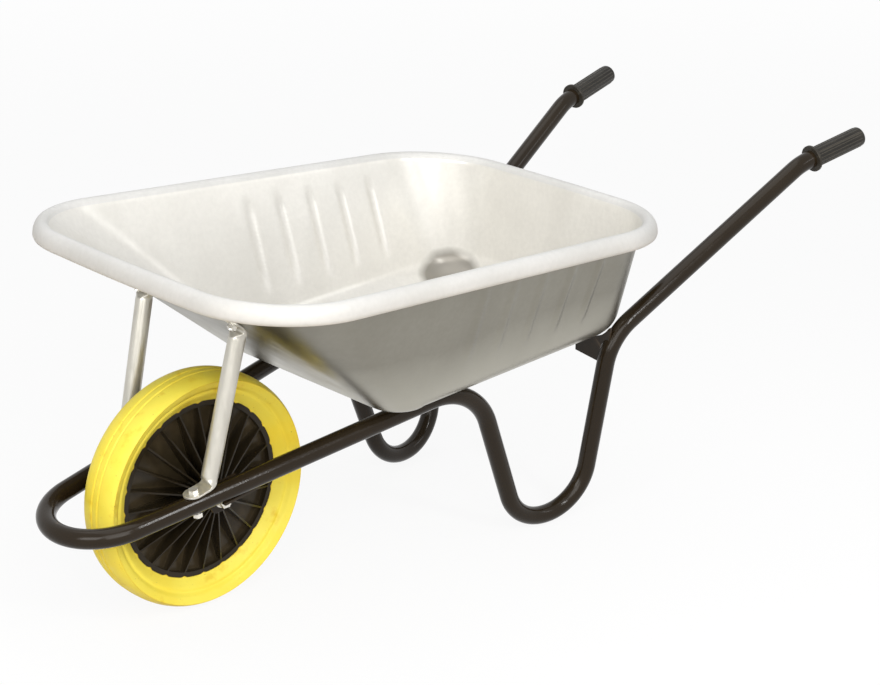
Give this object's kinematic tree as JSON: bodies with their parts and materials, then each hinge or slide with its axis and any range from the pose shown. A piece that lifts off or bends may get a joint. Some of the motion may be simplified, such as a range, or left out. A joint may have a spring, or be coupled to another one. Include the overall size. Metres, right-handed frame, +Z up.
{
  "type": "wheelbarrow",
  "caption": "Builder's wheelbarrow with a pressed steel tray on a bent tube frame, front stays, handle grips and a solid wheel that spins on its axle.",
  "frame": {"origin": "Middle of the wheelbarrow's length and width, on the ground under it.", "axes": "+X runs from the wheel to the handle grips, +Y to the pusher's right, +Z up."},
  "size_m": [1.4214, 0.6302, 0.5621],
  "materials": {
    "galvanised_sheet": "satin galvanised sheet",
    "galvanised_tube": "galvanised tube",
    "black_paint": "gloss black powder coat",
    "black_vinyl": "soft moulded vinyl",
    "yellow_tyre": "satin yellow foam tyre",
    "black_plastic": "satin moulded plastic",
    "grey_nylon": "smooth nylon",
    "zinc_plated_steel": "bright zinc plate"
  },
  "bodies": {
    "barrow": {"tray": "galvanised_sheet", "frame_tube": "black_paint", "left_grip": "black_vinyl", "right_grip": "black_vinyl", "left_front_stay": "galvanised_tube", "right_front_stay": "galvanised_tube", "left_axle_bracket": "black_paint", "right_axle_bracket": "black_paint", "left_rear_bracket": "black_paint", "right_rear_bracket": "black_paint", "axle_bolt": "zinc_plated_steel", "axle_nut": "zinc_plated_steel", "axle_washers": "zinc_plated_steel", "axle_spacers": "zinc_plated_steel", "stay_foot_bolts": "zinc_plated_steel", "stay_foot_nuts": "zinc_plated_steel", "tray_front_bolts": "zinc_plated_steel", "tray_front_nuts": "zinc_plated_steel", "tray_rear_bolts": "zinc_plated_steel", "tray_rear_washers": "zinc_plated_steel", "tray_rear_nuts": "zinc_plated_steel"},
    "wheel": {"tyre": "yellow_tyre", "wheel_centre": "black_plastic", "left_wheel_bush": "grey_nylon", "right_wheel_bush": "grey_nylon"}
  },
  "joints": [
    {"name": "wheel_spin", "type": "hinge", "parent": "barrow", "child": "wheel", "pos_m": [-0.45643, 0, 0.178], "axis": [0, 1, 0], "continuous": true}
  ]
}
